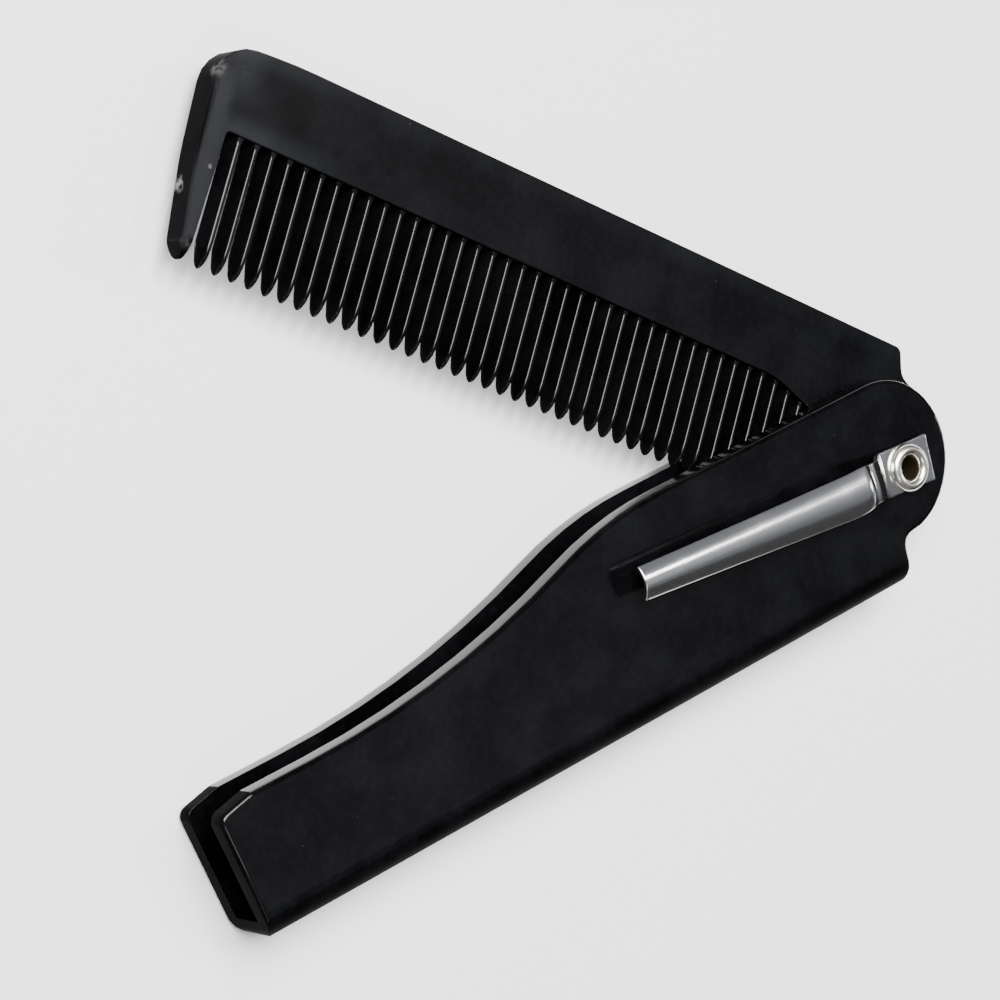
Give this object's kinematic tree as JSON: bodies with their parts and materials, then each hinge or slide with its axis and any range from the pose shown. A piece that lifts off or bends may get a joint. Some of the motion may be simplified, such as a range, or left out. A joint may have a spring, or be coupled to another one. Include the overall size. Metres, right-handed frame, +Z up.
{
  "type": "folding pocket comb",
  "caption": "Fine-toothed comb blade that folds into a channel handle, turning on a tubular eyelet that also holds a flat spring pocket clip.",
  "frame": {"origin": "middle of the footprint of the half-open comb, on the surface that the comb lies on", "axes": "+Z up, away from the surface and towards the clip's side; +X along the handle's back towards the pivot; +Y towards the open side of the handle's channel"},
  "size_m": [0.0938, 0.0736, 0.0108],
  "materials": {
    "black_plastic": "polished black",
    "clip_steel": "bright plated spring steel",
    "eyelet_metal": "bright nickel-plated brass"
  },
  "bodies": {
    "handle_body": {"handle": "black_plastic", "pocket_clip": "clip_steel", "pivot_eyelet": "eyelet_metal"},
    "blade_body": {"comb_blade": "black_plastic"}
  },
  "joints": [
    {"name": "blade_pivot", "type": "hinge", "parent": "handle_body", "child": "blade_body", "pos_m": [0.03896, -0.02571, 0.0038], "axis": [0, 0, 1], "range_deg": [-140.3, 39.7]}
  ]
}
